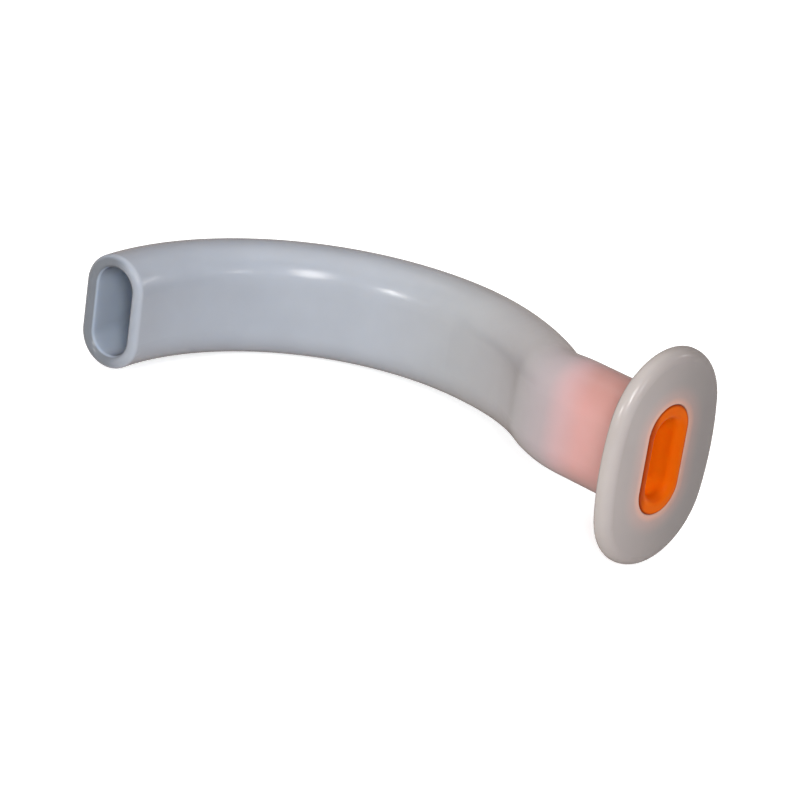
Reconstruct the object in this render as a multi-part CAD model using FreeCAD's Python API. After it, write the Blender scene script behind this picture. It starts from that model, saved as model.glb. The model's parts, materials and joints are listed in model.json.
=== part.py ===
# Oropharyngeal airway, nominal length 90 mm, in two pieces:
# a one-piece soft moulded body and the hard bite block that is pushed into its mouth end.
#
# Design frame, millimetres: the mouth opening is centred on the origin and faces +X. The tube
# leaves along -X, bends first to +Y and then in one long arc to -Y. Z runs across its width.
# The finished pieces are turned together into the pose in which the airway comes to rest.

import FreeCAD
import Part
import math
import os

from FreeCAD import Vector

# Centre line of the tube
bite_length = 19.7           # straight section, from the front of the flange
reverse_bend_radius = 11.8
reverse_bend_angle = 31.0    # degrees
curve_radius = 38.8
curve_angle = 131.4          # degrees

# Outside of the tube: width across Z, thickness in the plane of the curve
bite_width = 19.25
bite_thickness = 11.6
neck_width = 18.5            # narrowest place, in the reverse bend
neck_thickness = 10.85
curve_width = 19.2
curve_thickness = 11.1
neck_lead = 2.0              # the narrowing starts this far before the end of the bite section
neck_offset = 5.0            # and is complete this far behind it
swell_length = 24.0          # from the narrowest place to the full size of the curve

bite_wall = 2.1
tube_wall = 2.1
tip_rounding = 0.95          # on both edges of the open end

# Flange: an oval of four arcs
flange_width = 35.8
flange_height = 25.2
flange_side_radius = 45.0
flange_thickness = 2.7
flange_front_rounding = 1.8
flange_back_rounding = 0.75
flange_root_fillet = 0.8     # where the bite section leaves the flange

# Bite block: a rim let into the flange, and a sleeve that lines the bite section
rim_depth = 1.3
rim_overhang_ends = 1.6      # rim beyond the sleeve, at the two ends of its width
rim_overhang_sides = 0.9
sleeve_setback = 2.2         # the sleeve ends this far before the end of the bite section
sleeve_wall = 1.05
mouth_rounding = 1.4         # lead-in round the mouth of the channel
sleeve_end_chamfer = 0.4
edge_break = 0.15            # where the rim meets the flange
fit_gap = 0.04               # all round between the block and its seat
end_gap = 0.3                # between the end of the block and the shoulder behind it
throat_length = 7.0          # the lumen widens over this length behind the block

# Most of its wall that a rounding or chamfer may take
front_share = 0.68
back_share = 0.28
tip_share = 0.46
chamfer_share = 0.6
mouth_share = 0.7

cutter_overrun = 1.0         # what is cut away starts and ends this far past the plastic
edge_margin = 0.05           # edges are looked for this far round the outline they belong to
same_place = 1e-4            # points nearer than this count as one
coarse_step = 4.0            # between the sections that shape the changing part of the tube
fine_step = 1.5              # the same round the reverse bend
fine_reach = 12.0            # and this far to both sides of it

# Laying the part down on a level table
rest_points = 160            # along each line that can touch the table
rest_slope = 0.3             # steepest slope that is tried
rest_steps = 20              # of the search for the best slope
rest_rounds = 3

across = Vector(0, 0, 1)
bend_angle = math.radians(reverse_bend_angle)
tip_heading = math.radians(reverse_bend_angle - curve_angle)
bend_length = reverse_bend_radius * bend_angle
sleeve_width = bite_width - 2 * (bite_wall + fit_gap)
sleeve_height = bite_thickness - 2 * (bite_wall + fit_gap)
sleeve_length = bite_length - sleeve_setback
channel_width = sleeve_width - 2 * sleeve_wall
channel_height = sleeve_height - 2 * sleeve_wall
rim_width = sleeve_width + 2 * rim_overhang_ends
rim_height = sleeve_height + 2 * rim_overhang_sides
pocket_depth = sleeve_length + end_gap
neck_start = bite_length - neck_lead
narrowest = bite_length + neck_offset
even_start = narrowest + swell_length
tube_length = bite_length + bend_length + curve_radius * math.radians(curve_angle)


def outward(heading):
    """Direction from the centre line to the outside of the long curve.
    A heading of 0 runs straight in from the mouth, and a positive one turns to +Y."""
    return Vector(math.sin(heading), math.cos(heading), 0)


def curve_centre():
    bend_end = Vector(-bite_length - reverse_bend_radius * math.sin(bend_angle),
                      reverse_bend_radius * (1 - math.cos(bend_angle)), 0)
    return bend_end - outward(bend_angle) * curve_radius


def centre_line(distance):
    """Point and heading at a distance along the centre line from the front of the flange."""
    if distance <= bite_length:
        return Vector(-distance, 0, 0), 0.0
    if distance <= bite_length + bend_length:
        heading = (distance - bite_length) / reverse_bend_radius
        along = -bite_length - reverse_bend_radius * math.sin(heading)
        return Vector(along, reverse_bend_radius * (1 - math.cos(heading)), 0), heading
    heading = bend_angle - (distance - bite_length - bend_length) / curve_radius
    return curve_centre() + outward(heading) * curve_radius, heading


def ease(start, end, fraction):
    """From one size to another, level at both ends."""
    fraction = min(max(fraction, 0.0), 1.0)
    return start + (end - start) * (1 - math.cos(math.pi * fraction)) / 2


def tube_size(distance):
    """Outside width and thickness of the tube at a distance along the centre line."""
    if distance < narrowest:
        fraction = (distance - neck_start) / (narrowest - neck_start)
        return ease(bite_width, neck_width, fraction), ease(bite_thickness, neck_thickness, fraction)
    fraction = (distance - narrowest) / swell_length
    return ease(neck_width, curve_width, fraction), ease(neck_thickness, curve_thickness, fraction)


def lumen_size(distance):
    """Width and thickness of the lumen behind the block, which starts as wide as the block's channel."""
    width, thickness = tube_size(distance)
    fraction = (distance - pocket_depth) / throat_length
    return (ease(channel_width, width - 2 * tube_wall, fraction),
            ease(channel_height, thickness - 2 * tube_wall, fraction))


def slot_corners(centre, side, width, thickness):
    """Where the straight sides of a section meet its half-round ends, its thickness measured along side."""
    half = side * (thickness / 2)
    reach = across * ((width - thickness) / 2)
    return [centre + half + reach, centre - half + reach, centre - half - reach, centre + half - reach]


def slot_wire(centre, side, width, thickness):
    corners = slot_corners(centre, side, width, thickness)
    end = across * (width / 2)
    edges = [
        Part.Arc(corners[0], centre + end, corners[1]).toShape(),
        Part.LineSegment(corners[1], corners[2]).toShape(),
        Part.Arc(corners[2], centre - end, corners[3]).toShape(),
        Part.LineSegment(corners[3], corners[0]).toShape(),
    ]
    return Part.Wire(edges)


def straight_bar(start, end, width, thickness):
    """Bar of the slot section along the bite section, between two depths behind the flange's front."""
    wire = slot_wire(Vector(-start, 0, 0), Vector(0, 1, 0), width, thickness)
    return Part.Face(wire).extrude(Vector(start - end, 0, 0))


def section(size, distance):
    """Outline of the tube or its lumen at a distance along the centre line."""
    centre, heading = centre_line(distance)
    return slot_wire(centre, outward(heading), *size(distance))


def stations(start):
    """Distances of the sections from a start to the even part, closer together round the reverse bend."""
    bend_middle = bite_length + bend_length / 2
    found = [start]
    while even_start - found[-1] > same_place:
        near = abs(found[-1] - bend_middle) < bend_length / 2 + fine_reach
        following = found[-1] + (fine_step if near else coarse_step)
        found.append(following if even_start - following > fine_step else even_start)
    return found


def skin(rows, distances, weights):
    """Surface along the tube, through the curve that a row of poles gives at each distance."""
    paths = []
    for places in zip(*rows):
        path = Part.BSplineCurve()
        path.interpolate(Points=list(places), Parameters=distances)
        paths.append(path)
    poles = [path.getPoles() for path in paths]
    count = len(weights)
    surface = Part.BSplineSurface()
    surface.buildFromPolesMultsKnots(
        poles, [count, count], paths[0].getMultiplicities(), [0, 1], paths[0].getKnots(),
        False, False, count - 1, paths[0].Degree, [[weight] * len(poles[0]) for weight in weights])
    return surface.toShape()


def changing_sides(size, start):
    """The four sides of the stretch where the section changes: two half-round and two straight."""
    distances = stations(start)
    rows = []
    for distance in distances:
        centre, heading = centre_line(distance)
        width, thickness = size(distance)
        a, b, c, d = slot_corners(centre, outward(heading), width, thickness)
        over = across * thickness
        rows.append([[a, a + over, b + over, b], [b, c], [c, c - over, d - over, d], [d, a]])
    half_round = [1, 1 / 3, 1 / 3, 1]    # four poles with these weights make an exact half circle
    straight = [1, 1]
    return [skin(side, distances, weights)
            for side, weights in zip(zip(*rows), (half_round, straight, half_round, straight))]


def curved_bar(size, start, change_start, end):
    """Solid along the centre line between two distances: straight at first, then through sections
    that change, and even along the rest of the curve."""
    straight = section(size, change_start).extrude(Vector(change_start - start, 0, 0))
    turn = math.degrees((end - even_start) / curve_radius)
    even = section(size, even_start).revolve(curve_centre(), across, turn)
    ends = [Part.Face(section(size, distance)) for distance in (start, end)]
    shell = Part.makeShell(straight.Faces + changing_sides(size, change_start) + even.Faces + ends)
    shell.sewShape()
    solid = Part.Solid(shell)
    if solid.Volume < 0:
        solid.reverse()
    return solid


def oval_wire(x):
    """Outline of the flange: four tangent arcs, the tight ones at the two ends of its width."""
    a = flange_width / 2
    b = flange_height / 2
    end_radius = (2 * flange_side_radius * b - a * a - b * b) / (2 * (flange_side_radius - a))
    lean = math.atan2(flange_side_radius - b, a - end_radius)
    y = end_radius * math.sin(lean)
    z = a - end_radius + end_radius * math.cos(lean)
    edges = [
        Part.Arc(Vector(x, y, z), Vector(x, 0, a), Vector(x, -y, z)).toShape(),
        Part.Arc(Vector(x, -y, z), Vector(x, -b, 0), Vector(x, -y, -z)).toShape(),
        Part.Arc(Vector(x, -y, -z), Vector(x, 0, -a), Vector(x, y, -z)).toShape(),
        Part.Arc(Vector(x, y, -z), Vector(x, b, 0), Vector(x, y, z)).toShape(),
    ]
    return Part.Wire(edges)


def edges_on_plane(shape, point, normal, width=math.inf, height=math.inf):
    """Edges that lie on a plane, within a width along Z and a height along Y."""
    found = []
    for edge in shape.Edges:
        middle = edge.valueAt((edge.FirstParameter + edge.LastParameter) / 2)
        places = [vertex.Point for vertex in edge.Vertexes] + [middle]
        level = all(abs((place - point).dot(normal)) < same_place for place in places)
        if level and all(abs(p.z) < width / 2 and abs(p.y) < height / 2 for p in places):
            found.append(edge)
    return found


def make_flange():
    plate = Part.Face(oval_wire(-flange_thickness)).extrude(Vector(flange_thickness, 0, 0))
    front = edges_on_plane(plate, Vector(), Vector(1, 0, 0))
    plate = plate.makeFillet(min(flange_front_rounding, front_share * flange_thickness), front)
    back = edges_on_plane(plate, Vector(-flange_thickness, 0, 0), Vector(1, 0, 0))
    return plate.makeFillet(min(flange_back_rounding, back_share * flange_thickness), back)


def make_outside():
    """Flange and tube as one solid, before it is hollowed."""
    whole = make_flange().fuse(curved_bar(tube_size, flange_thickness / 2, neck_start, tube_length))
    root = edges_on_plane(whole, Vector(-flange_thickness, 0, 0), Vector(1, 0, 0),
                          bite_width + 2 * edge_margin, bite_thickness + 2 * edge_margin)
    return whole.makeFillet(flange_root_fillet, root)


def make_bore():
    """The seat for the block and the lumen behind it."""
    pocket = straight_bar(-cutter_overrun, pocket_depth,
                          sleeve_width + 2 * fit_gap, sleeve_height + 2 * fit_gap)
    recess = straight_bar(-cutter_overrun, rim_depth, rim_width + 2 * fit_gap, rim_height + 2 * fit_gap)
    lumen = curved_bar(lumen_size, pocket_depth - cutter_overrun, pocket_depth,
                       tube_length + cutter_overrun)
    return pocket.fuse([recess, lumen])


def make_airway_body():
    body = make_outside().cut(make_bore())
    tip_centre = curve_centre() + outward(tip_heading) * curve_radius
    tip_normal = outward(tip_heading).cross(across)
    tip = edges_on_plane(body, tip_centre, tip_normal)
    body = body.makeFillet(min(tip_rounding, tip_share * tube_wall), tip)
    seat = edges_on_plane(body, Vector(), Vector(1, 0, 0),
                          rim_width + 2 * (fit_gap + edge_margin), rim_height + 2 * (fit_gap + edge_margin))
    return body.makeChamfer(edge_break, seat)


def make_bite_block():
    rim = straight_bar(0, rim_depth, rim_width, rim_height)
    block = rim.fuse(straight_bar(0, sleeve_length, sleeve_width, sleeve_height)).removeSplitter()
    block = block.makeChamfer(edge_break, edges_on_plane(block, Vector(), Vector(1, 0, 0)))
    end = edges_on_plane(block, Vector(-sleeve_length, 0, 0), Vector(1, 0, 0))
    block = block.makeChamfer(min(sleeve_end_chamfer, chamfer_share * sleeve_wall), end)
    block = block.cut(straight_bar(-cutter_overrun, sleeve_length + cutter_overrun,
                                   channel_width, channel_height))
    mouth = edges_on_plane(block, Vector(), Vector(1, 0, 0),
                           channel_width + 2 * edge_margin, channel_height + 2 * edge_margin)
    rounding = min(mouth_rounding, mouth_share * (rim_height - channel_height) / 2)
    return block.makeFillet(rounding, mouth)


def least(function, low, high):
    """Where a function with one valley is lowest between two values."""
    for _ in range(rest_steps):
        third = (high - low) / 3
        if function(low + third) < function(high - third):
            high -= third
        else:
            low += third
    return (low + high) / 2


def underside():
    """Points along the two lines that can touch a table: the side of the tube and the flange's rim."""
    points = []
    for index in range(rest_points + 1):
        distance = (tube_length - tip_rounding) * index / rest_points
        points.append(centre_line(distance)[0] - across * (tube_size(distance)[0] / 2))
    rim = oval_wire(-flange_front_rounding).discretize(rest_points)
    return points + [point for point in rim if point.z < -curve_width / 2]


def rest_turn(shapes):
    """Turn that lays the part, width up, on the level plane on which it comes to rest."""
    solids = [solid for shape in shapes for solid in shape.Solids]
    volume = sum(solid.Volume for solid in solids)
    centre = Vector()
    for solid in solids:
        centre += solid.CenterOfMass * (solid.Volume / volume)
    points = [point - centre for point in underside()]
    turn = FreeCAD.Rotation()
    for _ in range(rest_rounds):
        low = [turn.multVec(point) for point in points]

        def drop(slope_x, slope_y):
            return max(slope_x * point.x + slope_y * point.y - point.z for point in low)

        def best_y(slope_x):
            return least(lambda slope_y: drop(slope_x, slope_y), -rest_slope, rest_slope)

        slope_x = least(lambda slope: drop(slope, best_y(slope)), -rest_slope, rest_slope)
        level = FreeCAD.Rotation(Vector(-slope_x, -best_y(slope_x), 1), across)
        turn = level.multiply(turn)
    mouth = turn.multVec(Vector(1, 0, 0))
    return FreeCAD.Rotation(across, -math.degrees(math.atan2(mouth.y, mouth.x))).multiply(turn)


def main():
    os.makedirs("parts", exist_ok=True)
    pieces = {"airway_body": make_airway_body(), "bite_block": make_bite_block()}
    placement = FreeCAD.Placement(Vector(), rest_turn(list(pieces.values())))
    for shape in pieces.values():
        shape.Placement = placement
    box = Part.makeCompound(list(pieces.values())).optimalBoundingBox()
    placement.Base = Vector(-box.Center.x, -box.Center.y, -box.ZMin)
    for name, shape in pieces.items():
        shape.Placement = placement
        print(name, shape.isValid(), len(shape.Solids), round(shape.Volume, 1), len(shape.Faces))
        shape.exportStep("parts/" + name + ".step")


main()
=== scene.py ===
import json
import math

import bpy
from mathutils import Matrix, Vector

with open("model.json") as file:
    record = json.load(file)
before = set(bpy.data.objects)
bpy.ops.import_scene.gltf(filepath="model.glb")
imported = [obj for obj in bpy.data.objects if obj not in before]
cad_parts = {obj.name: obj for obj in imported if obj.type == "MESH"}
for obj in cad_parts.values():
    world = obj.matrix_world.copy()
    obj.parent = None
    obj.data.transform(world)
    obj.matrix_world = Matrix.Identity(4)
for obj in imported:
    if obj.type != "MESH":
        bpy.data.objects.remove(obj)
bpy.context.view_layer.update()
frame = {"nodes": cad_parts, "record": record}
nodes = frame["nodes"]
print("frame loaded:", sorted(nodes))


# small helpers for the shader trees

def addNode(tree, kind, **settings):
    node = tree.nodes.new(kind)
    for name, value in settings.items():
        setattr(node, name, value)
    return node


def setInputs(node, values):
    for name, value in values.items():
        node.inputs[name].default_value = value


def addMath(tree, operation, *values):
    node = addNode(tree, "ShaderNodeMath", operation=operation)
    for socket, value in zip(node.inputs, values):
        if isinstance(value, float):
            socket.default_value = value
        else:
            tree.links.new(value, socket)
    return node.outputs["Value"]


def newMaterial(name):
    material = bpy.data.materials.new(name)
    material.use_nodes = True
    tree = material.node_tree
    return material, tree, tree.nodes["Principled BSDF"]


def dress(nodeName, material):
    for materialSlot in nodes[nodeName].material_slots:
        materialSlot.material = material


# moulded finish, used by both plastics: cloudy tone from the melt, a fine skin and a few rub marks

mouldedLook = {
    "clouds": {"Detail": 3.0, "Roughness": 0.55},
    "cloudSpan": {"From Min": 0.35, "From Max": 0.65, "To Min": 1.0},
    "skin": {"Detail": 2.0, "Roughness": 0.6},
    "rubs": {"Scale": 260.0, "Detail": 4.0, "Distortion": 0.6},
    "rubSpan": {"From Min": 0.4, "From Max": 0.7},
    "bumpStrength": 0.5,
}


def buildMouldedFinish():
    group = bpy.data.node_groups.new("mouldedFinish", "ShaderNodeTree")
    face = group.interface
    face.new_socket("Colour", in_out="INPUT", socket_type="NodeSocketColor")
    for name in ("Cloud Amount", "Cloud Scale", "Skin Scale", "Roughness Low", "Roughness High"):
        face.new_socket(name, in_out="INPUT", socket_type="NodeSocketFloat")
    face.new_socket("Colour", in_out="OUTPUT", socket_type="NodeSocketColor")
    for name in ("Roughness", "Height"):
        face.new_socket(name, in_out="OUTPUT", socket_type="NodeSocketFloat")

    given = addNode(group, "NodeGroupInput")
    result = addNode(group, "NodeGroupOutput")
    place = addNode(group, "ShaderNodeTexCoord")
    clouds, skin, rubs = (addNode(group, "ShaderNodeTexNoise") for _ in range(3))
    tone = addNode(group, "ShaderNodeMapRange")
    shade = addNode(group, "ShaderNodeVectorMath", operation="SCALE")
    gloss = addNode(group, "ShaderNodeMapRange")
    setInputs(clouds, mouldedLook["clouds"])
    setInputs(skin, mouldedLook["skin"])
    setInputs(rubs, mouldedLook["rubs"])
    setInputs(tone, mouldedLook["cloudSpan"])
    setInputs(gloss, mouldedLook["rubSpan"])

    link = group.links.new
    for texture in (clouds, skin, rubs):
        link(place.outputs["Object"], texture.inputs["Vector"])
    link(given.outputs["Cloud Scale"], clouds.inputs["Scale"])
    link(given.outputs["Skin Scale"], skin.inputs["Scale"])
    link(clouds.outputs["Fac"], tone.inputs["Value"])
    link(addMath(group, "SUBTRACT", 1.0, given.outputs["Cloud Amount"]), tone.inputs["To Max"])
    link(given.outputs["Colour"], shade.inputs[0])
    link(tone.outputs["Result"], shade.inputs["Scale"])
    link(rubs.outputs["Fac"], gloss.inputs["Value"])
    link(given.outputs["Roughness Low"], gloss.inputs["To Min"])
    link(given.outputs["Roughness High"], gloss.inputs["To Max"])
    link(shade.outputs["Vector"], result.inputs["Colour"])
    link(gloss.outputs["Result"], result.inputs["Roughness"])
    link(skin.outputs["Fac"], result.inputs["Height"])
    return group


mouldedFinish = buildMouldedFinish()


def addFinish(tree, shader, values, bumpDistance):
    finish = addNode(tree, "ShaderNodeGroup", node_tree=mouldedFinish)
    setInputs(finish, values)
    bump = addNode(tree, "ShaderNodeBump")
    setInputs(bump, {"Strength": mouldedLook["bumpStrength"], "Distance": bumpDistance})
    link = tree.links.new
    link(finish.outputs["Colour"], shader.inputs["Base Color"])
    link(finish.outputs["Roughness"], shader.inputs["Roughness"])
    link(finish.outputs["Height"], bump.inputs["Height"])
    link(bump.outputs["Normal"], shader.inputs["Normal"])
    return finish


# where the mouth is, from the part's own mounting faces: out of the mouth, to its side, and across
# its width

def findMouth():
    mounts = {mount["name"]: mount for mount in frame["record"]["mounts"]}
    centre = Vector(mounts["channel_mouth"]["pos_m"])
    out = Vector(mounts["channel_mouth"]["axis"]).normalized()
    across = (Vector(mounts["front_face"]["pos_m"]) - centre).normalized()
    side = across.cross(out).normalized()
    across = out.cross(side)
    turn = Matrix((out, side, across)).transposed()
    return centre, turn.to_euler()


mouthCentre, mouthTurn = findMouth()


def addMouthPlace(tree):
    place = addNode(tree, "ShaderNodeTexCoord")
    local = addNode(tree, "ShaderNodeMapping", vector_type="TEXTURE")
    setInputs(local, {"Location": mouthCentre, "Rotation": mouthTurn})
    split = addNode(tree, "ShaderNodeSeparateXYZ")
    tree.links.new(place.outputs["Object"], local.inputs["Vector"])
    tree.links.new(local.outputs["Vector"], split.inputs["Vector"])
    return [split.outputs[axis] for axis in "XYZ"]


def addSlotDistance(tree, along, aside, reach):
    # distance from the middle line of a slot shape, whose straight stretch is twice the reach
    beyond = addMath(tree, "SUBTRACT", addMath(tree, "ABSOLUTE", along), reach)
    joined = addNode(tree, "ShaderNodeCombineXYZ")
    away = addNode(tree, "ShaderNodeVectorMath", operation="LENGTH")
    tree.links.new(addMath(tree, "MAXIMUM", beyond, 0.0), joined.inputs["X"])
    tree.links.new(aside, joined.inputs["Y"])
    tree.links.new(joined.outputs["Vector"], away.inputs[0])
    return away.outputs["Value"]


def addFade(tree, value, span):
    # a span reads: from, to, what comes out there, what comes out there
    fade = addNode(tree, "ShaderNodeMapRange", interpolation_type="SMOOTHSTEP")
    setInputs(fade, dict(zip(("From Min", "From Max", "To Min", "To Max"), span)))
    tree.links.new(value, fade.inputs["Value"])
    return fade.outputs["Result"]


def addTouch(tree, below, colour, *masks):
    # lays one colour over what is below, as far as all the masks allow
    amount = masks[0]
    for mask in masks[1:]:
        amount = addMath(tree, "MULTIPLY", amount, mask)
    touch = addNode(tree, "ShaderNodeMix", data_type="RGBA")
    touch.inputs["B"].default_value = (*colour, 1)
    tree.links.new(amount, touch.inputs["Factor"])
    tree.links.new(below, touch.inputs["A"])
    return touch.outputs["Result"]


millimetre = 0.001


def addDepthTint(tree, out, tints, length):
    # a colour ramp from the mouth inwards, its stops in mm
    depth = addNode(tree, "ShaderNodeMapRange")
    setInputs(depth, {"From Min": 0.0, "From Max": -length * millimetre})
    ramp = addNode(tree, "ShaderNodeValToRGB")
    stops = ramp.color_ramp.elements
    while len(stops) < len(tints):
        stops.new(1.0)
    for stop, (distance, colour) in zip(stops, tints):
        stop.position = distance / length
        stop.color = (*colour, 1)
    tree.links.new(out, depth.inputs["Value"])
    tree.links.new(depth.outputs["Result"], ramp.inputs["Fac"])
    return ramp.outputs["Color"]


# airway body: soft milky polyethylene

airwayBody = {
    "finish": {
        "Cloud Amount": 0.06,
        "Cloud Scale": 70.0,
        "Skin Scale": 1500.0,
        "Roughness Low": 0.22,
        "Roughness High": 0.25,
    },
    "skinDepth": 0.000003,
    "ior": 1.5,
    "subsurface": 0.8,
    "scatter": (1.0, 0.9, 0.8),
    "scatterDepth": 0.0015,
    # depth behind the mouth in mm, and the colour there: a painted glow of the orange block through
    # the bite section, the thick shoulder behind it is paler, and the hollow tube is cool and grey
    "tints": [
        (0.0, (0.42, 0.39, 0.385)),
        (2.6, (0.46, 0.43, 0.41)),
        (4.0, (0.74, 0.39, 0.34)),
        (12.5, (0.82, 0.455, 0.43)),
        (16.5, (0.74, 0.50, 0.51)),
        (20.0, (0.58, 0.50, 0.52)),
        (23.5, (0.56, 0.52, 0.54)),
        (27.0, (0.57, 0.56, 0.57)),
        (45.0, (0.52, 0.54, 0.565)),
        (60.0, (0.50, 0.54, 0.60)),
        (84.0, (0.45, 0.50, 0.58)),
    ],
    "tintLength": 90.0,
    # lengths from here on are in metres from the mouth's centre
    # painted shade: the flange face is painted lighter on one side and duller towards the other
    "flangePaintedShade": (-0.012, 0.012, 1.28, 0.66),
    # painted glow: the flange is painted warmer around the block's rim, for the block's orange light
    # coming through
    "flangeDepth": (-0.0045, -0.0025, 0.0, 1.0),
    # and warmer around the block's rim
    "rimReach": 0.00453,      # half the straight stretch of the rim's outline
    "halo": (0.74, 0.45, 0.40),
    "haloFade": (0.00456, 0.0085, 0.52, 0.0),
    "haloDepth": (-0.0022, -0.0012, 0.0, 1.0),
    "haloEdge": (0.95, 0.50, 0.38),
    "haloEdgeFade": (0.00470, 0.0060, 0.7, 0.0),
    # painted shade: the painted glow of the block is darker where the bite section turns over its top
    # and bottom
    "turnoverPaintedShade": (0.44, 0.22, 0.18),
    "turnoverFade": (0.0035, 0.0095, 0.0, 0.45),
    "turnoverDepth": (-0.0185, -0.0120, 0.0, 1.0),
    "turnoverStart": (-0.0040, -0.0028, 1.0, 0.0),
    # inside the curve, painted light: the bore is painted brighter and bluer for the light that comes
    # through the wall;
    # painted shade: the lip is painted duller, most on its outer side
    "curveCentre": (-0.04576, -0.03158, 0.0),
    "curveRadius": 0.0388,
    "curveReach": 0.00405,    # half the straight stretch of the tube's section
    "curveDepth": (-0.045, -0.055, 0.0, 1.0),
    "lipPaintedShade": (0.20, 0.225, 0.26),
    "lipFade": (0.0048, 0.0056, 1.0, 0.0),
    "lipSide": (-0.0040, 0.0005, 0.25, 1.0),
    "borePaintedLight": (0.56, 0.65, 0.77),
    "boreFade": (0.00348, 0.0037, 1.0, 0.0),
    # the skin absorbs a little, most where it is seen edge on
    "skinWeight": 1.0,
    "skinTint": (0.82, 0.80, 0.79, 1),
    "skinIor": 1.01,
    "skinGloss": 0.3,
}


def addCurveDistance(tree, out, side, across):
    # distance from the midline of the curved tube, and how much of it is away from the curve's centre
    flat = addNode(tree, "ShaderNodeCombineXYZ")
    fromCentre = addNode(tree, "ShaderNodeVectorMath", operation="SUBTRACT")
    fromCentre.inputs[1].default_value = airwayBody["curveCentre"]
    radius = addNode(tree, "ShaderNodeVectorMath", operation="LENGTH")
    link = tree.links.new
    link(out, flat.inputs["X"])
    link(side, flat.inputs["Y"])
    link(flat.outputs["Vector"], fromCentre.inputs[0])
    link(fromCentre.outputs["Vector"], radius.inputs[0])
    outward = addMath(tree, "SUBTRACT", radius.outputs["Value"], airwayBody["curveRadius"])
    return addSlotDistance(tree, across, outward, airwayBody["curveReach"]), outward


def buildMilkyPolyethylene():
    material, tree, shader = newMaterial("milkyPolyethylene")
    finish = addFinish(tree, shader, airwayBody["finish"], airwayBody["skinDepth"])
    out, side, across = addMouthPlace(tree)
    # colour by depth, with the painted glow of the orange block through the bite section
    tint = addDepthTint(tree, out, airwayBody["tints"], airwayBody["tintLength"])

    fromRim = addSlotDistance(tree, across, side, airwayBody["rimReach"])
    onFace = addFade(tree, out, airwayBody["haloDepth"])
    # painted glow around the block's rim on the flange face
    for halo in ("halo", "haloEdge"):
        tint = addTouch(tree, tint, airwayBody[halo], onFace,
                        addFade(tree, fromRim, airwayBody[halo + "Fade"]))
    # painted shade where the bite section turns over its top and bottom
    tint = addTouch(tree, tint, airwayBody["turnoverPaintedShade"],
                    addFade(tree, addMath(tree, "ABSOLUTE", across), airwayBody["turnoverFade"]),
                    addFade(tree, out, airwayBody["turnoverDepth"]),
                    addFade(tree, out, airwayBody["turnoverStart"]))
    fromMidline, outward = addCurveDistance(tree, out, side, across)
    onCurve = addFade(tree, out, airwayBody["curveDepth"])
    # painted shade: the lip is painted duller, most on its outer side
    tint = addTouch(tree, tint, airwayBody["lipPaintedShade"], onCurve,
                    addFade(tree, fromMidline, airwayBody["lipFade"]),
                    addFade(tree, outward, airwayBody["lipSide"]))
    # painted light: the bore is painted brighter and bluer, for the light through the wall
    tint = addTouch(tree, tint, airwayBody["borePaintedLight"], onCurve,
                    addFade(tree, fromMidline, airwayBody["boreFade"]))

    # painted shade across the flange face, scaling its colour from one side to the other
    shade = addNode(tree, "ShaderNodeVectorMath", operation="SCALE")
    amount = addNode(tree, "ShaderNodeMix", data_type="FLOAT")
    setInputs(amount, {"A": 1.0})
    link = tree.links.new
    link(addFade(tree, out, airwayBody["flangeDepth"]), amount.inputs["Factor"])
    link(addFade(tree, side, airwayBody["flangePaintedShade"]), amount.inputs["B"])
    link(tint, shade.inputs[0])
    link(amount.outputs["Result"], shade.inputs["Scale"])
    link(shade.outputs["Vector"], finish.inputs["Colour"])
    setInputs(shader, {"IOR": airwayBody["ior"],
                       "Coat Weight": airwayBody["skinWeight"],
                       "Coat IOR": airwayBody["skinIor"],
                       "Coat Tint": airwayBody["skinTint"],
                       "Coat Roughness": airwayBody["skinGloss"],
                       "Subsurface Weight": airwayBody["subsurface"],
                       "Subsurface Radius": airwayBody["scatter"],
                       "Subsurface Scale": airwayBody["scatterDepth"]})
    return material


dress("airway_body", buildMilkyPolyethylene())
print("airway body dressed")


# bite block: hard orange polypropylene

biteBlock = {
    "finish": {
        "Cloud Amount": 0.10,
        "Cloud Scale": 120.0,
        "Skin Scale": 2200.0,
        "Roughness Low": 0.38,
        "Roughness High": 0.44,
    },
    "skinDepth": 0.000003,
    "ior": 1.49,
    "specular": 0.025,
    "subsurface": 0.4,
    "scatter": (1.0, 0.25, 0.05),
    "scatterDepth": 0.0012,
    # painted light: the channel is painted brighter than the rim, for the light its thin wall lets
    # through
    "tints": [
        (0.0, (0.66, 0.105, 0.0005)),
        (1.2, (0.86, 0.145, 0.001)),
        (3.0, (1.0, 0.20, 0.003)),
        (17.0, (1.0, 0.20, 0.003)),
    ],
    "tintLength": 20.0,
    # painted shade: darker still at its outer edge, and over the side of the rim that gets the least
    # light
    "rimReach": 0.00453,      # half the straight stretch of the rim's outline
    "edge": (0.26, 0.03, 0.001),
    "edgeFade": (0.0041, 0.0045, 0.0, 0.8),
    "dimSidePaintedShade": (0.36, 0.04, 0.0005),
    "dimFade": (-0.0042, -0.0025, 0.9, 0.0),
    "dimDepth": (-0.0016, -0.0006, 0.0, 1.0),
    # painted shade: so is the lead-in of the channel, apart from its bright far side
    "channelReach": 0.003825,  # the same for the channel
    "leadInPaintedShade": (0.56, 0.075, 0.0005),
    "leadInFade": (0.0031, 0.0036, 0.8, 0.0),
    "leadInDepth": (-0.0026, -0.0010, 0.0, 1.0),
    "leadInSide": (0.0005, 0.0024, 1.0, 0.0),
}


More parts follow.
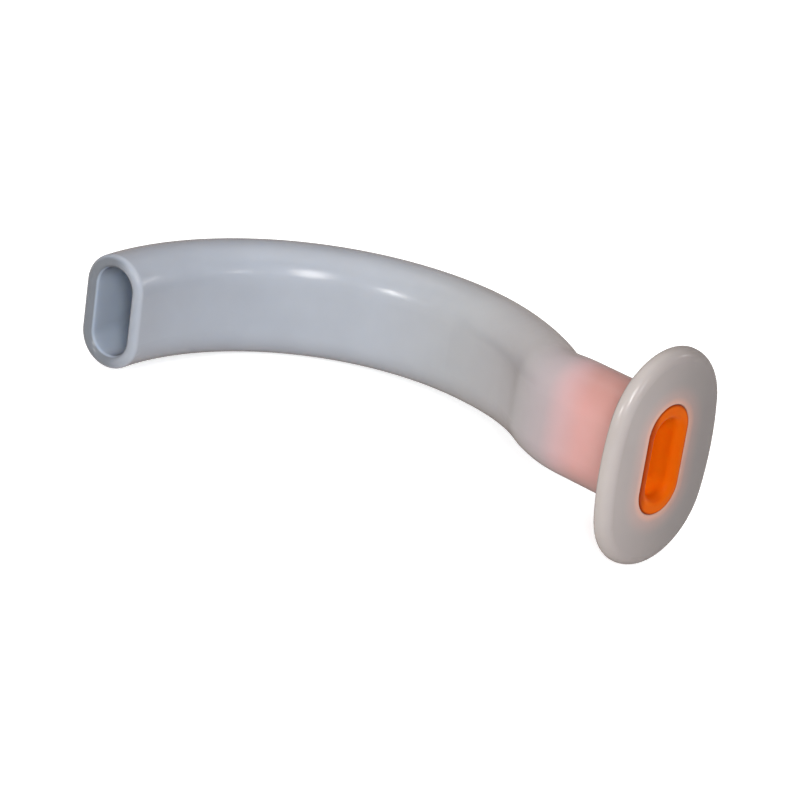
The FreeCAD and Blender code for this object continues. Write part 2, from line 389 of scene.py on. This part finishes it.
def buildOrangePolypropylene():
    material, tree, shader = newMaterial("orangePolypropylene")
    finish = addFinish(tree, shader, biteBlock["finish"], biteBlock["skinDepth"])
    out, side, across = addMouthPlace(tree)
    # colour by depth, with painted light in the channel
    tint = addDepthTint(tree, out, biteBlock["tints"], biteBlock["tintLength"])
    fromRim = addSlotDistance(tree, across, side, biteBlock["rimReach"])
    fromChannel = addSlotDistance(tree, across, side, biteBlock["channelReach"])
    # painted shade over the side of the rim that gets the least light
    tint = addTouch(tree, tint, biteBlock["dimSidePaintedShade"], addFade(tree, side, biteBlock["dimFade"]),
                    addFade(tree, out, biteBlock["dimDepth"]))
    # painted shade at the rim's outer edge
    tint = addTouch(tree, tint, biteBlock["edge"], addFade(tree, fromRim, biteBlock["edgeFade"]))
    # painted shade on the lead-in of the channel, apart from its far side
    tint = addTouch(tree, tint, biteBlock["leadInPaintedShade"],
                    addFade(tree, fromChannel, biteBlock["leadInFade"]),
                    addFade(tree, out, biteBlock["leadInDepth"]),
                    addFade(tree, side, biteBlock["leadInSide"]))
    tree.links.new(tint, finish.inputs["Colour"])
    setInputs(shader, {"IOR": biteBlock["ior"], "Specular IOR Level": biteBlock["specular"],
                       "Subsurface Weight": biteBlock["subsurface"],
                       "Subsurface Radius": biteBlock["scatter"],
                       "Subsurface Scale": biteBlock["scatterDepth"]})
    return material


dress("bite_block", buildOrangePolypropylene())
print("bite block dressed")


# white floor: bright for the camera, and it still takes the shadow

floorLook = {
    "size": 3.0,
    "drop": 0.0001,           # just under the part, so that no faces share a plane
    "albedo": 0.80,
    "roughness": 0.9,
    "specular": 0.1,
    "glow": 0.62,
}


def addBackgroundRays(tree):
    # 1 for the rays that show the background: camera, mirrored and through glass
    rays = addNode(tree, "ShaderNodeLightPath").outputs
    mirrored = addMath(tree, "MAXIMUM", rays["Is Glossy Ray"], rays["Is Transmission Ray"])
    return addMath(tree, "MAXIMUM", rays["Is Camera Ray"], mirrored)


def buildFloor():
    bpy.ops.mesh.primitive_plane_add(size=floorLook["size"], location=(0, 0, -floorLook["drop"]))
    floor = bpy.context.object
    floor.name = "floor"
    material, tree, shader = newMaterial("whiteFloor")
    albedo = floorLook["albedo"]
    setInputs(shader, {"Base Color": (albedo, albedo, albedo, 1),
                       "Roughness": floorLook["roughness"],
                       "Specular IOR Level": floorLook["specular"],
                       "Emission Color": (1, 1, 1, 1)})
    glow = addMath(tree, "MULTIPLY", addBackgroundRays(tree), floorLook["glow"])
    tree.links.new(glow, shader.inputs["Emission Strength"])
    floor.data.materials.append(material)


buildFloor()
print("floor laid")


# lights: a pale room, a key box that gives the main glint, three weaker ones for the other glints, and
# a broad ceiling

lights = {
    "worldColour": (1.0, 1.0, 1.0, 1),
    "worldStrength": 0.42,
    "aim": (0, 0, 0.01),
    # name, azimuth and elevation in degrees, distance, width and height in metres, watts
    "lamps": [
        ("keyBox", -42.0, 41.0, 0.70, 0.15, 0.28, 2.3),
        ("windowBox", -90.0, 25.0, 0.70, 0.08, 0.14, 1.2),
        ("farWindow", 0.0, 31.0, 0.80, 0.16, 0.08, 0.45),
        ("doorway", 57.0, 18.0, 0.80, 0.10, 0.10, 0.30),
        ("ceiling", 150.0, 80.0, 1.20, 1.20, 1.20, 5.8),
    ],
}


def fromAngles(azimuth, elevation, distance):
    azimuth, elevation = math.radians(azimuth), math.radians(elevation)
    return distance * Vector((math.cos(azimuth) * math.cos(elevation),
                              math.sin(azimuth) * math.cos(elevation), math.sin(elevation)))


def aimAt(thing, place, target):
    thing.location = place
    thing.rotation_euler = (Vector(target) - Vector(place)).to_track_quat("-Z", "Y").to_euler()


def buildLights():
    world = bpy.data.worlds.new("paleRoom")
    bpy.context.scene.world = world
    world.use_nodes = True
    tree = world.node_tree
    sky = tree.nodes["Background"]
    sky.inputs["Color"].default_value = lights["worldColour"]
    strength = addNode(tree, "ShaderNodeMapRange")
    setInputs(strength, {"To Min": lights["worldStrength"], "To Max": 1.0})
    tree.links.new(addBackgroundRays(tree), strength.inputs["Value"])
    tree.links.new(strength.outputs["Result"], sky.inputs["Strength"])
    for name, azimuth, elevation, distance, width, height, watts in lights["lamps"]:
        data = bpy.data.lights.new(name, "AREA")
        data.shape = "RECTANGLE"
        data.size = width
        data.size_y = height
        data.energy = watts
        lamp = bpy.data.objects.new(name, data)
        bpy.context.collection.objects.link(lamp)
        aimAt(lamp, fromAngles(azimuth, elevation, distance), lights["aim"])


buildLights()
print("lights set")


# camera where the photograph was taken from

cameraView = {
    "aim": (0.00907, -0.00856, 0.0170),
    "azimuth": -49.91,      # degrees from the X axis to the camera, seen from above
    "elevation": 32.21,
    "roll": 9.69,
    "distance": 0.4689,
    "lens": 137.7,
    "sensor": 36.0,
}


def buildCamera():
    data = bpy.data.cameras.new("camera")
    data.lens = cameraView["lens"]
    data.sensor_width = cameraView["sensor"]
    camera = bpy.data.objects.new("camera", data)
    bpy.context.collection.objects.link(camera)
    aim = Vector(cameraView["aim"])
    away = fromAngles(cameraView["azimuth"], cameraView["elevation"], cameraView["distance"])
    aimAt(camera, aim + away, aim)
    camera.rotation_euler.rotate_axis("Z", math.radians(cameraView["roll"]))
    bpy.context.scene.camera = camera


buildCamera()
bpy.context.scene.view_settings.view_transform = "Standard"
print("camera set")
